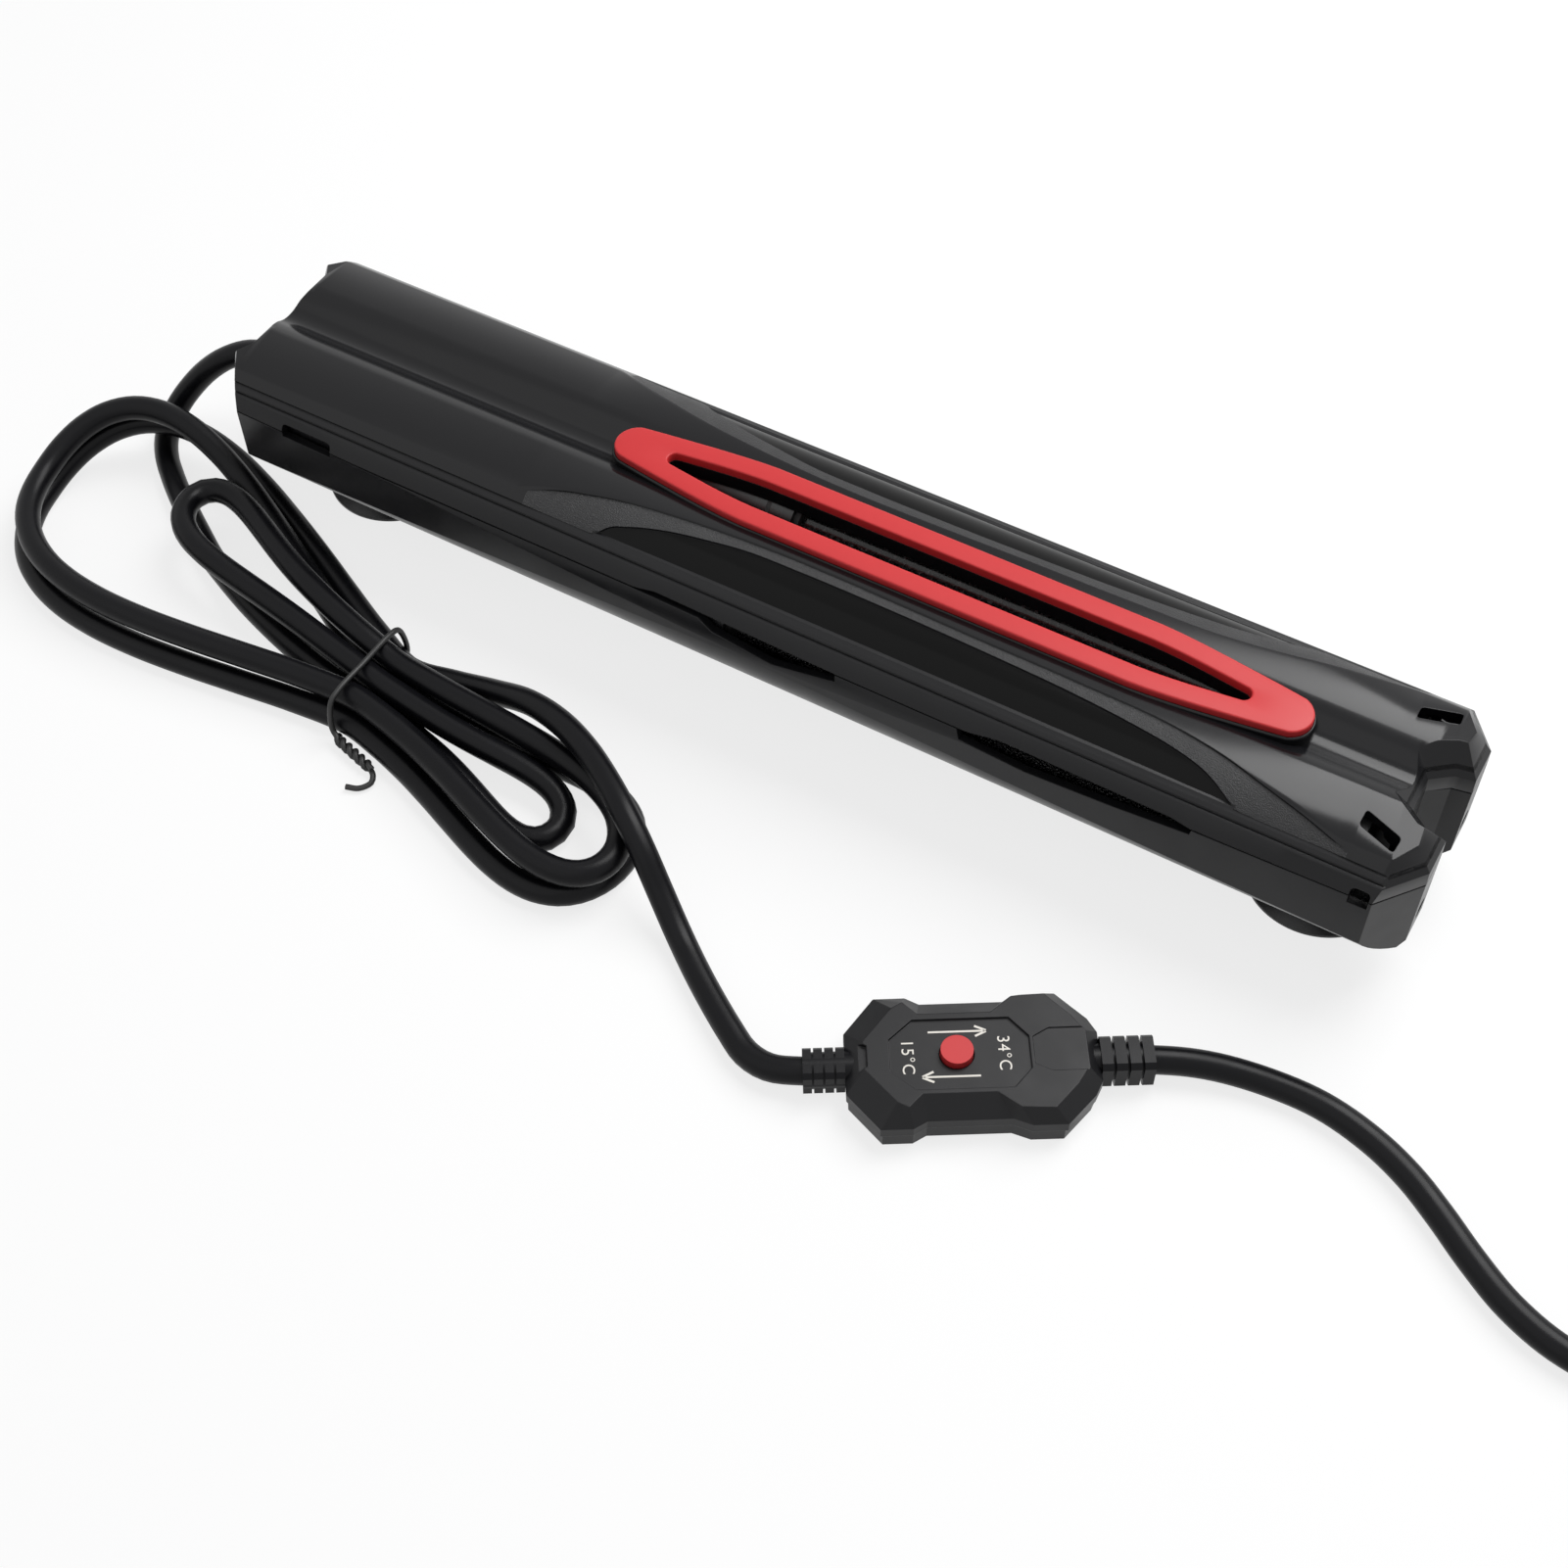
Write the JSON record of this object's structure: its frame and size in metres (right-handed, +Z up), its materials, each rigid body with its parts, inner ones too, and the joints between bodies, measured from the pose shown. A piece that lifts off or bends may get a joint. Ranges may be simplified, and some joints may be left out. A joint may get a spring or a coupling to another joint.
{
  "type": "submersible aquarium heater",
  "caption": "Black twin-tube submersible aquarium heater in a lobed guard with a red ring, two suction cups, an in-line controller, a tied hank of cord and a mains plug.",
  "frame": {"origin": "on the surface below the middle of the guard, level with the suction cups' rims", "axes": "+X along the guard from the cord end to the free end, +Z up from the suction cups to the top cover"},
  "size_m": [0.5764, 0.218, 0.0491],
  "materials": {
    "gloss_shell": "polished black moulding",
    "satin_shell": "fine satin black moulding",
    "controller_shell": "fine satin black moulding",
    "red_accent": "glossy red moulding",
    "inner_plastic": "plain black moulding",
    "seal_rubber": "soft black rubber",
    "cup_rubber": "glossy black soft rubber",
    "cord_rubber": "satin black cord sheath",
    "tie_plastic": "black coated wire",
    "lead_insulation": "red silicone sleeving",
    "board": "green solder mask",
    "steel": "zinc-plated steel",
    "plated_brass": "nickel-plated brass",
    "quartz": "black-tinted quartz glass",
    "granules": "coarse black mineral granules",
    "ceramic": "unglazed ceramic",
    "resistance_wire": "oxidised resistance wire"
  },
  "bodies": {
    "heater": {"top_cover": "gloss_shell", "middle_band_front": "satin_shell", "middle_band_rear": "satin_shell", "lower_shell": "satin_shell", "accent_ring": "red_accent", "control_head": "inner_plastic", "head_end_plate": "inner_plastic", "head_seal": "seal_rubber", "circuit_board": "board", "display_module": "inner_plastic", "relay": "inner_plastic", "capacitor": "inner_plastic", "thermal_fuse": "steel", "temperature_probe": "steel", "quartz_tube_front": "quartz", "quartz_tube_rear": "quartz", "granule_fill_front": "granules", "granule_fill_rear": "granules", "ceramic_core_front": "ceramic", "ceramic_core_rear": "ceramic", "heating_winding_front": "resistance_wire", "heating_winding_rear": "resistance_wire", "tube_seal_front": "seal_rubber", "tube_seal_rear": "seal_rubber", "tube_bumper_front": "seal_rubber", "tube_bumper_rear": "seal_rubber", "power_leads": "lead_insulation", "cable_gland": "cord_rubber", "guard_screws": "steel", "controller_base": "satin_shell", "controller_top": "controller_shell", "button_switch": "steel", "controller_board": "board", "controller_screws": "steel", "relief_in": "cord_rubber", "relief_out": "cord_rubber", "heater_cord": "cord_rubber", "cord_hank": "cord_rubber", "controller_cord": "cord_rubber", "twist_tie": "tie_plastic", "mains_cord": "cord_rubber", "mains_coil": "cord_rubber", "coil_tie": "tie_plastic", "mains_tail": "cord_rubber", "plug_relief": "cord_rubber", "plug_body": "satin_shell", "plug_pins": "plated_brass"},
    "button": {"controller_button": "red_accent"},
    "left_cup": {"suction_cup_left": "cup_rubber"},
    "right_cup": {"suction_cup_right": "cup_rubber"}
  },
  "joints": [
    {"name": "button_press", "type": "slide", "parent": "heater", "child": "button", "axis": [0, 0, -1], "range_m": [0, 0.0012], "stiffness_N_per_m": 400, "springref_m": -0.001},
    {"name": "left_cup_swivel", "type": "hinge", "parent": "heater", "child": "left_cup", "pos_m": [-0.128, 0, 0.0125], "axis": [0, 0, 1], "continuous": true},
    {"name": "right_cup_swivel", "type": "hinge", "parent": "heater", "child": "right_cup", "pos_m": [0.133, 0, 0.0125], "axis": [0, 0, 1], "continuous": true}
  ]
}
